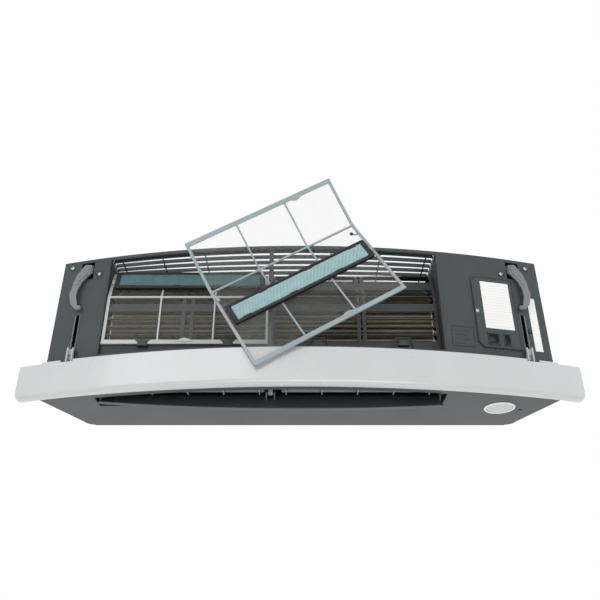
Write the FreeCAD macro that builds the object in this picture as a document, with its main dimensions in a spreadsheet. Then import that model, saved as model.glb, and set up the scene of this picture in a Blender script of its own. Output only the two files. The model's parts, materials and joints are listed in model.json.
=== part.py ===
import FreeCAD, Part
import math
import os
import re
import Sketcher

# Indoor unit of a wall-mounted split air conditioner, shown with its main front panel off.
# Frame: origin at the middle of the wall plate's wall face, +X to the unit's right as seen
# from the room, +Y into the wall, +Z up. All sizes are millimetres.

Vector = FreeCAD.Vector
ALONG_X = Vector(1, 0, 0)
doc = FreeCAD.newDocument("SplitUnit")

# ---------------------------------------------------------------- driving dimensions
DRIVING = {
    "body_width": 940,        # across the front ends of the casing
    "body_height": 290,
    "centre_depth": 206,      # wall face to casing front at the middle, where it bulges most
    "front_radius": 1706.5,   # plan radius of the bulging front
    "back_half": 404,         # half width of the flat back
    "corner_side": 421,       # half width where the tapered side meets the rear corner
    "corner_depth": 22,
    "rear_radius": 18,
    "shell": 3,               # moulded wall thickness
    "back_gap": 2,            # wall plate thickness, and the back panel's distance from the wall
    "bar_width": 1030,
    "bar_height": 66,
    "bar_centre_depth": 229,
    "bar_radius": 1620.7,
    "bar_end_depth": 145,
    "bay_left": 370,          # intake bay, left of the middle
    "bay_right": 262,         # intake bay, right of the middle
    "bay_top": 137,
    "bay_sill": 66,           # lower edge of the intake bay, below the middle
    "filter_plane": 160,      # depth of the flat front row of a filter
    "filter_low": 43,         # its lower edge, below the middle
    "filter_width": 310,
    "filter_fold": 100,       # developed length of its front row
    "frame_thick": 3,
    "fan_depth": 78,          # fan axis from the wall
    "fan_drop": 5,            # fan axis below the middle
    "fan_radius": 44,
    "blade_count": 24,
    "disc_count": 8,
    "louver_depth": 131,      # louver hinge from the wall
    "louver_drop": 128,       # louver hinge below the middle
    "louver_open": 45,        # angle from closed, in degrees
    "louver_thick": 3,
    "louver_offset": 14,      # louver's outer face from its hinge line
    "vane_depth": 153,        # vane pivots from the wall
    "arm_x": 422,             # panel arms and hooks, from the middle
    "arm_pivot_depth": 148,
    "arm_pivot_rise": 126,
    "gas_radius": 4.76,
    "liquid_radius": 3.175,
    "drain_radius": 8,
    "button_radius": 3.5,
    "screw_head": 3.8,
    "screw_shank": 1.9,
    "run_fit": 0.05,          # radial clearance of a pin that turns in its bore
}

sheet = doc.addObject("Spreadsheet::Sheet", "Sizes")
for row, (alias, value) in enumerate(DRIVING.items(), start=1):
    sheet.set(f"A{row}", alias)
    sheet.set(f"B{row}", str(value))
    sheet.setAlias(f"B{row}", alias)
doc.recompute()

parts = []                    # every finished sub-part, in order


# ---------------------------------------------------------------- sheet expressions
def bound(text):
    """The expression with each driving dimension's name pointed at the sheet."""
    return re.sub(r"[a-z_]+", lambda m: "Sizes." + m[0] if m[0] in DRIVING else m[0], text)


def size(text):
    """The number that an expression has now."""
    return float(sheet.evalExpression(bound(text)))


def bind(item, prop, text):
    """Ties a property to an expression of the driving dimensions."""
    item.setExpression(prop, bound(text))


def front_y(x, inset="0"):
    """Expression: Y of the casing's front arc at X, moved inwards by an inset."""
    return f"(front_radius - centre_depth - sqrt((front_radius - {inset})^2 - ({x})^2))"


def bar_y(x, inset="0"):
    """Expression: Y of the front bar's outer arc at X, moved inwards by an inset."""
    return f"(bar_radius - bar_centre_depth - sqrt((bar_radius - {inset})^2 - ({x})^2))"


def front_turn(x):
    """Expression: plan angle of the casing's front at X, in degrees."""
    return f"asin(({x}) / front_radius)"


# ---------------------------------------------------------------- bodies and sketches
def new_body(label, x="0", y="0", z="0"):
    """A body whose placement is tied to the sheet."""
    body = doc.addObject("PartDesign::Body", label)
    body.Label = label
    for letter, text in zip("xyz", (x, y, z)):
        bind(body, f"Placement.Base.{letter}", text)
    parts.append(body)
    return body


def turn_body(body, axis, angle):
    """Turns a body about an axis through its placement point."""
    body.Placement.Rotation = FreeCAD.Rotation(axis, size(angle))
    bind(body, "Placement.Rotation.Angle", angle)


def sketch_on(body, role, offset="0"):
    """A sketch on one of the body's own origin planes, moved along its normal."""
    plane = next(item for item in body.Origin.OriginFeatures if item.Role == role)
    sketch = body.newObject("Sketcher::SketchObject", f"{body.Name}_sketch")
    sketch.AttachmentSupport = [(plane, "")]
    sketch.MapMode = "FlatFace"
    bind(sketch, "AttachmentOffset.Base.z", offset)
    return sketch


def add_bound(sketch, constraints):
    """Adds constraints; each comes with its expression, or None."""
    first = sketch.ConstraintCount
    sketch.addConstraint([constraint for constraint, _ in constraints])
    for index, (_, text) in enumerate(constraints, start=first):
        if text is not None and bound(text) != text:
            bind(sketch, f"Constraints[{index}]", text)


def arc_between(start, end, radius, side):
    """A counter-clockwise arc between two ends, bulging right (1) or left (-1) of the way."""
    chord = end - start
    sagitta = radius - math.sqrt(radius ** 2 - (chord.Length / 2) ** 2)
    outward = Vector(chord.y, -chord.x, 0).normalize() * (side * sagitta)
    middle = start + chord * 0.5 + outward
    return Part.Arc(start, middle, end) if side > 0 else Part.Arc(end, middle, start)


def draw_loop(sketch, corners):
    """A closed outline. A corner is (x, y), or (x, y, radius, side) where an arc starts."""
    spots = [Vector(size(corner[0]), size(corner[1]), 0) for corner in corners]
    ends = []
    constraints = []
    for index, corner in enumerate(corners):
        start = spots[index]
        end = spots[(index + 1) % len(spots)]
        if len(corner) == 2:
            edge = sketch.addGeometry(Part.LineSegment(start, end))
            ends.append((edge, 1, 2))
            continue
        edge = sketch.addGeometry(arc_between(start, end, size(corner[2]), corner[3]))
        ends.append((edge, 1, 2) if corner[3] > 0 else (edge, 2, 1))
        constraints.append((Sketcher.Constraint("Radius", edge, size(corner[2])), corner[2]))
    for index, (edge, begin, finish) in enumerate(ends):
        following, following_begin, _ = ends[(index + 1) % len(ends)]
        joined = Sketcher.Constraint("Coincident", edge, finish, following, following_begin)
        constraints.append((joined, None))
        for kind, text in (("DistanceX", corners[index][0]), ("DistanceY", corners[index][1])):
            held = Sketcher.Constraint(kind, -1, 1, edge, begin, size(text))
            constraints.append((held, text))
    add_bound(sketch, constraints)


def draw_box(sketch, left, right, low, high):
    draw_loop(sketch, [(left, low), (right, low), (right, high), (left, high)])


def draw_circle(sketch, x, y, radius):
    circle = Part.Circle(Vector(size(x), size(y), 0), Vector(0, 0, 1), size(radius))
    edge = sketch.addGeometry(circle)
    add_bound(sketch, [
        (Sketcher.Constraint("DistanceX", -1, 1, edge, 3, size(x)), x),
        (Sketcher.Constraint("DistanceY", -1, 1, edge, 3, size(y)), y),
        (Sketcher.Constraint("Radius", edge, size(radius)), radius),
    ])


def pad(body, sketch, length):
    """Adds the outline's sweep along the sketch's normal."""
    feature = body.newObject("PartDesign::Pad", f"{body.Name}_pad")
    feature.Profile = sketch
    bind(feature, "Length", length)
    return feature


def pocket(body, sketch, length):
    """Removes the outline's sweep along the sketch's normal."""
    feature = body.newObject("PartDesign::Pocket", f"{body.Name}_pocket")
    feature.Profile = sketch
    feature.Reversed = True
    bind(feature, "Length", length)
    return feature


def block(label, left, right, low_y, high_y, low_z, high_z):
    """A plain box between six planes, padded up from its lower face."""
    body = new_body(label)
    sketch = sketch_on(body, "XY_Plane", low_z)
    draw_box(sketch, left, right, low_y, high_y)
    pad(body, sketch, f"({high_z}) - ({low_z})")
    return body


def turned(label, x, y, z, axis_turn, profile):
    """A body of revolution. Its profile is (radius, station) pairs along its own Z axis."""
    body = new_body(label, x, y, z)
    if axis_turn is not None:
        body.Placement.Rotation = axis_turn
    sketch = sketch_on(body, "XZ_Plane")
    draw_loop(sketch, profile)
    feature = body.newObject("PartDesign::Revolution", f"{label}_turn")
    feature.Profile = sketch
    feature.ReferenceAxis = (sketch, ["V_Axis"])
    feature.Angle = 360
    return body


def repeat(body, feature, sketch, axis, length, count):
    """A linear pattern of one feature along a sketch axis."""
    pattern = body.newObject("PartDesign::LinearPattern", f"{body.Name}_row")
    pattern.Originals = [feature]
    pattern.Direction = (sketch, [axis])
    bind(pattern, "Length", length)
    bind(pattern, "Occurrences", count)
    body.Tip = pattern
    return pattern


# ---------------------------------------------------------------- bent sheets
def offset_path(points, distance):
    """The path's points moved to the left of its direction."""
    normals = []
    for before, after in zip(points, points[1:]):
        way = (after - before).normalize()
        normals.append(Vector(0, -way.z, way.y))
    moved = [points[0] + normals[0] * distance]
    for point, first, second in zip(points[1:], normals, normals[1:]):
        moved.append(point + (first + second) * (distance / (1 + first.dot(second))))
    moved.append(points[-1] + normals[-1] * distance)
    return moved


def rounded_edges(points, radii):
    """Lines along the path, with an arc of its own radius at each inner corner."""
    edges = []
    start = points[0]
    for before, corner, after, radius in zip(points, points[1:], points[2:], radii):
        inward = (before - corner).normalize()
        onward = (after - corner).normalize()
        half = inward.getAngle(onward) / 2
        enter = corner + inward * (radius / math.tan(half))
        leave = corner + onward * (radius / math.tan(half))
        middle = corner + (inward + onward).normalize() * (radius / math.sin(half) - radius)
        edges.append(Part.LineSegment(start, enter).toShape())
        edges.append(Part.Arc(enter, middle, leave).toShape())
        start = leave
    edges.append(Part.LineSegment(start, points[-1]).toShape())
    return edges


def bent_sheet(path, radii, low, high, left, right):
    """A sheet that follows a path in Y and Z, between two offsets of it, along X."""
    points = [Vector(left, y, z) for y, z in path]
    sides = []
    for distance in (low, high):
        moved_radii = []
        for before, corner, after, radius in zip(points, points[1:], points[2:], radii):
            left_turn = (corner - before).cross(after - corner).x > 0
            moved_radii.append(radius - distance if left_turn else radius + distance)
        moved = offset_path(points, distance)
        sides.append((moved, rounded_edges(moved, moved_radii)))
    (near_points, near), (far_points, far) = sides
    caps = [Part.LineSegment(near_points[end], far_points[end]).toShape() for end in (0, -1)]
    wire = Part.Wire(Part.sortEdges(near + far + caps)[0])
    return Part.Face(wire).extrude(Vector(right - left, 0, 0))


def baked(shape):
    """The same shape with its placement worked into its geometry."""
    copy = shape.copy()
    matrix = copy.Placement.toMatrix()
    copy.Placement = FreeCAD.Placement()
    return copy.transformGeometry(matrix)


def made(label, shape):
    """A sub-part whose shape comes from Part's own functions."""
    feature = doc.addObject("Part::Feature", label)
    feature.Label = label
    feature.Shape = shape
    feature.Placement = FreeCAD.Placement()
    parts.append(feature)
    return feature


# ---------------------------------------------------------------- places shared by sub-parts
ARM_SIDES = {"left": "-", "right": ""}
WALL_SCREW = (320, 60)        # half spacings of the plate's screw holes
CASING_SCREWS = [("-451", "130"), ("446", "128"), ("-392", "108"), ("392", "108")]
BUTTON = ("433", "-12")
DISPLAY = ("369", "-103")
RECEIVER = ("411", "-90")
PIPE_HOLE = ("282", "352", "-138", "-100")
DRAIN_HOLE = ("-401", "-375", "-112", "-80")
VANE_ROWS = {"left": ["-331", "-266.5", "-202", "-137.5", "-73"],
             "right": ["-25", "39.5", "104", "168.5", "233"]}


def wall_plate():
    body = new_body("wall_plate")
    sketch = sketch_on(body, "XZ_Plane")
    draw_box(sketch, "-360", "360", "-85", "85")
    for x in (-WALL_SCREW[0], WALL_SCREW[0]):
        for z in (-WALL_SCREW[1], WALL_SCREW[1]):
            draw_circle(sketch, f"{x}", f"{z}", "3")
    pad(body, sketch, "back_gap")
    holes = sketch_on(body, "XZ_Plane")
    draw_box(holes, "-240", "-60", "-50", "50")
    draw_box(holes, "60", "240", "-50", "50")
    pocket(body, holes, "back_gap")


def rear_casing():
    """Back panel with the fan's scroll and the two end plates moulded in one piece."""
    back_half = size("back_half")
    half_height = size("body_height / 2")
    shell = size("shell")
    back = size("-back_gap")
    left = size("-bay_left")
    right = size("bay_right")
    panel = Part.makeBox(2 * back_half, shell, 2 * half_height,
                         Vector(-back_half, back - shell, -half_height))
    floor = shell + 0.5 - half_height
    scroll_path = [(-26, 46), (-24, -12), (-42, -75), (-110, floor + 1)]
    scroll = bent_sheet(scroll_path, [50, 60], -1.25, 1.25, left, right)
    front = back - shell
    ceiling = half_height - shell - 0.5
    end_outlines = {
        left - shell: [(front, ceiling), (front, floor), (-152, floor), (-158, -60), (-158, ceiling)],
        right: [(front, ceiling), (front, floor), (-152, floor), (-178, -60), (-178, ceiling)],
    }
    shape = panel.fuse(scroll)
    for x, outline in end_outlines.items():
        corners = [Vector(x, y, z) for y, z in outline]
        plate = Part.Face(Part.makePolygon(corners + corners[:1])).extrude(Vector(shell, 0, 0))
        shape = shape.fuse(plate)
    reach = 2 * size("body_width")
    fan = Vector(-reach / 2, size("-fan_depth"), size("-fan_drop"))
    hinge = Vector(-reach / 2, size("-louver_depth"), size("-louver_drop"))
    bores = [
        Part.makeCylinder(8, reach, fan, ALONG_X),
        Part.makeCylinder(size("3 + run_fit"), reach, hinge, ALONG_X),
        Part.makeCylinder(size("drain_radius + 0.5"), 60, Vector(left - 30, -146, -96), ALONG_X),
        Part.makeCylinder(size("gas_radius + 0.5"), 60, Vector(right - 30, -138, -64), ALONG_X),
        Part.makeCylinder(size("liquid_radius + 0.5"), 60, Vector(right - 30, -150, -80), ALONG_X),
    ]
    for x in (-WALL_SCREW[0], WALL_SCREW[0]):
        for z in (-WALL_SCREW[1], WALL_SCREW[1]):
            bores.append(Part.makeCylinder(9, 3 * shell, Vector(x, back - 2 * shell, z), Vector(0, 1, 0)))
    for x0, x1, z0, z1 in (PIPE_HOLE, DRAIN_HOLE):
        low = Vector(size(x0), back - 2 * shell, size(z0))
        bores.append(Part.makeBox(size(x1) - size(x0), 3 * shell, size(z1) - size(z0), low))
    made("rear_casing", shape.cut(bores).removeSplitter())


def casing_outline(inset):
    """Plan outline of the casing at an inset from its outer faces, front arc first."""
    end_x = f"(body_width / 2 - {inset})"
    side_x = f"(corner_side - {inset})"
    back_x = f"(back_half - {inset})"
    radius = f"(front_radius - {inset})"
    back = "(-back_gap - shell)"
    return [
        (f"-{end_x}", front_y(end_x, inset), radius, 1),
        (end_x, front_y(end_x, inset)),
        (side_x, "-corner_depth", "rear_radius", 1),
        (back_x, back),
        (f"-{back_x}", back, "rear_radius", 1),
        (f"-{side_x}", "-corner_depth"),
    ]


def front_casing():
    """The moulded shell: front frame, ends, top rim and underside."""
    body = new_body("front_casing")
    half = "(body_height / 2)"
    outer = sketch_on(body, "XY_Plane", f"-{half}")
    draw_loop(outer, casing_outline("0"))
    pad(body, outer, "body_height")
    inner = sketch_on(body, "XY_Plane", f"shell - {half}")
    hollow = casing_outline("shell")
    draw_loop(inner, hollow)
    pocket(body, inner, "body_height - 2 * shell")
    front = sketch_on(body, "XZ_Plane", "125")
    draw_box(front, "-bay_left", "-58", "-bay_sill", "bay_top")
    draw_box(front, "-50", "bay_right", "-bay_sill", "bay_top")
    draw_box(front, "345", "369", "-50", "-24")
    draw_box(front, "377", "392", "-50", "-24")
    for sign in ARM_SIDES.values():
        arm_hole = ("-arm_x - 10", "17 - arm_x") if sign else ("arm_x - 17", "arm_x + 10")
        draw_box(front, *arm_hole, "100", "138")
        draw_box(front, f"{sign}arm_x - 3.5", f"{sign}arm_x + 3.5", "-78", "21")
    draw_circle(front, BUTTON[0], BUTTON[1], "button_radius + 0.3")
    for x, z in CASING_SCREWS:
        draw_circle(front, x, z, "screw_shank + 0.1")
    pocket(body, front, "100")
    top = sketch_on(body, "XY_Plane", f"{half} - shell - 1")
    draw_loop(top, [
        ("-bay_left", front_y("bay_left", "8"), "front_radius - 8", 1),
        ("bay_right", front_y("bay_right", "8")),
        ("bay_right", "-24"),
        ("-bay_left", "-24"),
    ])
    pocket(body, top, "shell + 2")
    under = sketch_on(body, "XY_Plane", f"-{half} - 1")
    draw_loop(under, [
        ("2 - bay_left", front_y("bay_left - 2", "14"), "front_radius - 14", 1),
        ("bay_right - 2", front_y("bay_right - 2", "14")),
        ("bay_right - 2", "-111"),
        ("2 - bay_left", "-111"),
    ])
    draw_circle(under, DISPLAY[0], DISPLAY[1], "24")
    draw_circle(under, RECEIVER[0], RECEIVER[1], "4.2")
    pocket(body, under, "shell + 2")
    sill = sketch_on(body, "XY_Plane", "-bay_sill - 2")
    draw_loop(sill, [
        ("-bay_left", front_y("bay_left", "1"), "front_radius - 1", 1),
        ("bay_right", front_y("bay_right", "1")),
        ("bay_right", "4 - filter_plane"),
        ("-bay_left", "4 - filter_plane"),
    ])
    pad(body, sill, "2")


def top_grille():
    """Lengthwise slats over the intake bay, bowed at the front and straight at the back."""
    body = new_body("top_grille")
    low = "(body_height / 2 - 9.5)"
    last = 8
    left_x = "(bay_left - 2)"
    right_x = "(bay_right - 2)"
    back = 34

    def slat_y(x, bow, forward):
        return f"({bow} * ({front_y(x)} + {10 + back}) - {back} + {forward})"

    for index in range(last + 1):
        bow = 1 - index / last
        sketch = sketch_on(body, "XY_Plane", low)
        corners = []
        for forward, ends in (("0", (f"-{left_x}", right_x)), ("2", (right_x, f"-{left_x}"))):
            for x in ends:
                corners.append([x, slat_y(x.strip("-"), bow, forward)])
        if bow > 0.01:
            corners[0] += [f"front_radius / {bow}", 1]
            corners[2] += [f"front_radius / {bow}", -1]
        draw_loop(sketch, [tuple(corner) for corner in corners])
        pad(body, sketch, "8")
    for x in ("-350", "-269", "-184", "-54", "60", "156", "246"):
        rib = sketch_on(body, "XY_Plane", low)
        draw_box(rib, f"{x} - 1", f"{x} + 1", slat_y(x.strip("-"), 1, "0.5"), f"2 - {back}")
        pad(body, rib, "3")


def filter_path():
    """Path of a filter's middle plane in Y and Z, from its lower edge up and back."""
    plane = size("-filter_plane")
    low = size("-filter_low")
    fold = low + size("filter_fold")
    return [(plane, low), (plane, fold), (plane + 23, fold + 71), (-34, fold + 73)]


FILTER_RADII = [40, 30]


def intake_lattice():
    """The fixed grid behind the filters that carries them."""
    left = size("-bay_left") + 0.5
    right = size("bay_right") - 0.5
    clear = size("-frame_thick / 2") - 1
    grid = bent_sheet(filter_path(), FILTER_RADII, clear - 4, clear, left, right)
    columns = [(left + 6, -225), (-217, -208), (-201, -59), (-49, 107), (114, 118),
               (125, right - 6)]
    rows = [(-37, -23.25), (-20.25, -6.5), (-3.5, 10.25), (13.25, 27), (44, 59.5),
            (62.5, 78), (98, 120)]
    steps = [-112 + 17 * row for row in range(4)]
    gaps = []
    for start, end in columns:
        for low, high in rows:
            gaps.append(Part.makeBox(end - start, 60, high - low, Vector(start, -175, low)))
        for y in steps:
            gaps.append(Part.makeBox(end - start, 13.5, 40, Vector(start, y, 112)))
    sill = size("-bay_sill")
    apron = Part.makeBox(right - left, 2, 6 - size("filter_low") - sill,
                         Vector(left, size("2.5 - filter_plane"), sill))
    made("intake_lattice", grid.cut(gaps).fuse(apron).removeSplitter())


def drain_pan():
    """Trough below the coil. Its underside is the roof of the air outlet."""
    body = new_body("drain_pan")
    left = "(1 - bay_left)"
    right = "(bay_right - 1)"
    outline = [
        (left, front_y("bay_left - 1", "5"), "front_radius - 5", 1),
        (right, front_y("bay_right - 1", "5")),
        (right, "-126"),
        (left, "-126"),
    ]
    solid = sketch_on(body, "XY_Plane", "-108")
    draw_loop(solid, outline)
    pad(body, solid, "105.5 - bay_sill")
    hollow = sketch_on(body, "XY_Plane", "-101")
    draw_loop(hollow, [
        (f"{left} + shell", front_y("bay_left - 4", "8"), "front_radius - 8", 1),
        (f"{right} - shell", front_y("bay_right - 4", "8")),
        (f"{right} - shell", "-128.5"),
        (f"{left} + shell", "-128.5"),
    ])
    pocket(body, hollow, "50")
    seats = sketch_on(body, "XY_Plane", "-108")
    for row in VANE_ROWS.values():
        for x in row:
            draw_circle(seats, x, "-vane_depth", "2 + run_fit")
    pocket(body, seats, "4")
    drain = sketch_on(body, "YZ_Plane", "-bay_left")
    draw_circle(drain, "-146", "-93", "6")
    pocket(body, drain, "10")


def front_bar():
    """Curved trim bar across the lower front, open at the back, round along its lower edge."""
    body = new_body("front_bar")
    end = "(bar_width / 2)"
    low = "(-body_height / 2)"
    outer = sketch_on(body, "XY_Plane", low)
    draw_loop(outer, [
        (f"-{end}", "-bar_end_depth", "bar_radius", 1),
        (end, "-bar_end_depth"),
        (end, front_y(end), "front_radius", -1),
        (f"-{end}", front_y(end)),
    ])
    solid = pad(body, outer, "bar_height")
    doc.recompute()
    lower = [f"Edge{number}" for number, edge in enumerate(solid.Shape.Edges, start=1)
             if edge.BoundBox.ZMax < size(low) + 0.1
             and edge.BoundBox.YMin < size("-bar_end_depth") - 1
             and edge.BoundBox.XLength > size("bar_width") / 2]
    ends = [f"Edge{number}" for number, edge in enumerate(solid.Shape.Edges, start=1)
            if edge.BoundBox.ZMax < size(low) + 0.1 and edge.BoundBox.XLength < 0.1]
    rounding = body.newObject("PartDesign::Fillet", "front_bar_round")
    rounding.Base = (solid, lower + ends)
    rounding.Radius = 7
    notches = sketch_on(body, "XZ_Plane", "100")
    top = f"({low} + bar_height)"
    for sign in ARM_SIDES.values():
        draw_box(notches, f"{sign}arm_x - 12", f"{sign}arm_x + 12", f"{top} - 4", f"{top} + 4")
    draw_box(notches, f"-{end} - 5", "-body_width / 2 - 1", f"{top} - 3", f"{top} + 4")
    draw_box(notches, "body_width / 2 + 1", f"{end} + 5", f"{top} - 3", f"{top} + 4")
    pocket(body, notches, "160")
    hollow = sketch_on(body, "XY_Plane", f"{low} + 4")
    inner = "(body_width / 2 - 8)"
    draw_loop(hollow, [
        (f"-{inner}", bar_y(inner, "4"), "bar_radius - 4", 1),
        (inner, bar_y(inner, "4")),
        (inner, front_y(inner, "4"), "front_radius - 4", -1),
        (f"-{inner}", front_y(inner, "4")),
    ])
    pocket(body, hollow, "bar_height - 12")


def coil():
    """Two finned blocks folded over the fan, their end plates and the return bends."""
    left = size("-bay_left") + 14
    right = size("bay_right") - 12
    lower = [(-151, -72), (-131, -72), (-131, 44), (-151, 44)]
    upper = [(-147, 58), (-97, 112), (-82.3, 98.4), (-132.3, 44.4)]
    rear = [(-66, 112), (-21, 62), (-35.9, 48.6), (-80.9, 98.6)]
    for label, outlines in (("coil_front", [lower, upper]), ("coil_rear", [rear])):
        body = new_body(label)
        sketch = sketch_on(body, "YZ_Plane", f"{left}")
        for outline in outlines:
            draw_loop(sketch, [(f"{y}", f"{z}") for y, z in outline])
        pad(body, sketch, f"{right - left}")
    plates = new_body("coil_end_plates")
    for x in (left - 1.5, right):
        sketch = sketch_on(plates, "YZ_Plane", f"{x}")
        for outline in (lower, upper, rear):
            draw_loop(sketch, [(f"{y}", f"{z}") for y, z in outline])
        pad(plates, sketch, "1.5")
    bends = []
    tube = 3.5
    for (near_y, near_z), (far_y, far_z), count in (((-146, -60), (-146, 32), 5),
                                                    ((-136, -60), (-136, 32), 5),
                                                    ((-136, 58), (-98, 99), 3),
                                                    ((-70, 100), (-36, 62), 3)):
        start = Vector(0, near_y, near_z)
        way = Vector(0, far_y, far_z) - start
        step = way.Length / (count * 2 - 1)
        way.normalize()
        for number in range(count):
            middle = start + way * (step * (2 * number + 0.5))
            for x, facing in ((right + 1.5, ALONG_X), (left - 1.5, -ALONG_X)):
                if facing == -ALONG_X and number == count - 1:
                    continue
                bend = Part.makeTorus(step / 2, tube, Vector(), Vector(0, 0, 1), 0, 360, 180)
                centre = middle if facing == ALONG_X else middle + way * step
                turn = FreeCAD.Rotation(way, facing, way.cross(facing), "XYZ")
                bend.Placement = FreeCAD.Placement(Vector(x, centre.y, centre.z), turn)
                bends.append(bend)
    made("coil_bends", Part.makeCompound(bends))


def pipe(label, route, bend_radius, radius, bore):
    """A tube along straight runs joined by arcs."""
    points = [Vector(*point) for point in route]
    spine = Part.Wire(rounded_edges(points, [bend_radius] * (len(points) - 2)))
    way = points[1] - points[0]
    solids = []
    for tube_radius in (radius, bore):
        ring = Part.Wire(Part.makeCircle(tube_radius, points[0], way))
        solids.append(spine.makePipeShell([ring], True, True))
    made(label, solids[0].cut(solids[1]))


def pipes():
    outlet_z = -118
    end_y = -1
    right = size("bay_right") + 3
    pipe("gas_pipe", [(right - 3, -138, -64), (300, -138, -64), (300, -138, outlet_z),
                      (300, end_y, outlet_z)], 15, size("gas_radius"), size("gas_radius") - 0.8)
    pipe("liquid_pipe", [(right - 3, -150, -80), (332, -150, -80), (332, -150, outlet_z),
                         (332, end_y, outlet_z)], 12, size("liquid_radius"),
         size("liquid_radius") - 0.7)
    left = size("-bay_left")
    pipe("drain_spout", [(left + 1, -146, -96), (left - 17, -146, -96), (left - 17, end_y, -96)],
         12, size("drain_radius"), size("drain_radius") - 1.5)


SPIN_AXIS = FreeCAD.Rotation(Vector(0, 1, 0), 90)    # a turned body's own Z laid along +X


def fan():
    """Cross-flow wheel, its shaft, the left bearing and the right motor."""
    wheel = new_body("fan_wheel", "10 - bay_left", "-fan_depth", "-fan_drop")
    length = "(bay_left + bay_right - 24)"
    blade = sketch_on(wheel, "YZ_Plane", "0")
    draw_loop(blade, [("fan_radius - 11", "0"), ("fan_radius - 1", "-3.6"),
                      ("fan_radius - 1", "-2.2"), ("fan_radius - 11", "1.4")])
    first = pad(wheel, blade, length)
    ring = wheel.newObject("PartDesign::PolarPattern", "fan_wheel_blades")
    ring.Originals = [first]
    ring.Axis = (blade, ["N_Axis"])
    ring.Angle = 360
    bind(ring, "Occurrences", "blade_count")
    wheel.Tip = ring
    disc = sketch_on(wheel, "YZ_Plane", "0")
    draw_circle(disc, "0", "0", "fan_radius")
    draw_circle(disc, "0", "0", "4")
    plate = pad(wheel, disc, "3")
    repeat(wheel, plate, disc, "N_Axis", f"{length} - 3", "disc_count")
    shaft = new_body("fan_shaft", "-bay_left", "-fan_depth", "-fan_drop")
    round_bar = sketch_on(shaft, "YZ_Plane", "0")
    draw_circle(round_bar, "0", "0", "4")
    pad(shaft, round_bar, "bay_left + bay_right + 40")
    turned("fan_bearing", "-bay_left - 3", "-fan_depth", "-fan_drop", SPIN_AXIS,
           [("4 + run_fit", "0"), ("8", "0"), ("8", "8"), ("4 + run_fit", "8")])
    turned("motor_bracket", "bay_right + 3", "-fan_depth", "-fan_drop", SPIN_AXIS,
           [("22", "0"), ("46", "0"), ("46", "6"), ("22", "6")])
    turned("fan_motor", "bay_right + 4", "-fan_depth", "-fan_drop", SPIN_AXIS,
           [("4 + run_fit", "0"), ("22", "0"), ("22", "5"), ("38", "7"), ("38", "50"),
            ("28", "58"), ("4 + run_fit", "58")])


def louver():
    """Outlet flap, its free edge bowed like the casing, on end pins and a middle pin."""
    body = new_body("louver", "0", "-louver_depth", "-louver_drop")
    turn_body(body, ALONG_X, "louver_open")
    left = "(5 - bay_left)"
    right = "(bay_right - 5)"
    plate = sketch_on(body, "XY_Plane", "-louver_offset")
    draw_loop(plate, [(left, "-16", "2300", 1), (right, "-31"), (right, "16"), (left, "16")])
    pad(body, plate, "louver_thick")
    rim = sketch_on(body, "XY_Plane", "louver_thick - louver_offset")
    draw_loop(rim, [(left, "-16", "2300", 1), (right, "-31"),
                    (right, "-25", "2300", -1), (left, "-10")])
    pad(body, rim, "2")
    for lug_x, pin_x, pin_length in ((left, "(-bay_left - 3.5)", "11"),
                                     (f"({right} - 3)", f"({right} - 3)", "11")):
        lug = sketch_on(body, "YZ_Plane", lug_x)
        draw_loop(lug, [("-9", "1 - louver_offset"), ("9", "1 - louver_offset"),
                        ("4.5", "1", "4.6", 1), ("-4.5", "1")])
        pad(body, lug, "3")
        pin = sketch_on(body, "YZ_Plane", pin_x)
        draw_circle(pin, "0", "0", "3")
        pad(body, pin, pin_length)
    for lug_x in ("-63", "-48"):
        lug = sketch_on(body, "YZ_Plane", lug_x)
        draw_loop(lug, [("-7", "1 - louver_offset"), ("7", "1 - louver_offset"),
                        ("4.5", "1", "4.6", 1), ("-4.5", "1")])
        pad(body, lug, "3")
    pin = sketch_on(body, "YZ_Plane", "-63")
    draw_circle(pin, "0", "0", "3")
    pad(body, pin, "18")
    bracket = new_body("louver_bracket")
    ear = sketch_on(bracket, "YZ_Plane", "-58")
    draw_loop(ear, [("-louver_depth - 5", "-louver_drop", "5.2", 1),
                    ("5 - louver_depth", "-louver_drop"),
                    ("5 - louver_depth", "-108"), ("-louver_depth - 5", "-108")])
    draw_circle(ear, "-louver_depth", "-louver_drop", "3 + run_fit")
    pad(bracket, ear, "8")
    turned("louver_motor", "-bay_left - 22", "-louver_depth", "-louver_drop", SPIN_AXIS,
           [("0", "0"), ("11", "0"), ("11", "15"), ("4", "15"), ("4", "17"), ("0", "17")])


def vanes():
    """Upright air-guide vanes on pivots in the outlet roof, and the rods that link them."""
    for side, row in VANE_ROWS.items():
        for number, x in enumerate(row, start=1):
            body = new_body(f"vane_{side}_{number}", x, "-vane_depth", "-113")
            blade = sketch_on(body, "YZ_Plane", "-0.9")
            draw_loop(blade, [("-12", "-19"), ("-6", "-22"), ("12", "-22"), ("12", "-13.4"),
                              ("16.5", "-13.4"), ("16.5", "-11"), ("12", "-11"), ("12", "0"),
                              ("-12", "0")])
            pad(body, blade, "1.8")
            pivot = sketch_on(body, "XY_Plane", "-0.5")
            draw_circle(pivot, "0", "0", "2")
            pad(body, pivot, "8.5")
        rod = new_body(f"vane_rod_{side}")
        strip = sketch_on(rod, "XZ_Plane", "139")
        draw_box(strip, f"{row[0]} - 8", f"{row[-1]} + 8", "-129", "-121")
        for x in row:
            draw_box(strip, f"{x} - 2.4", f"{x} + 2.4", "-127.2", "-123.2")
        pad(rod, strip, "1.6")


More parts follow.
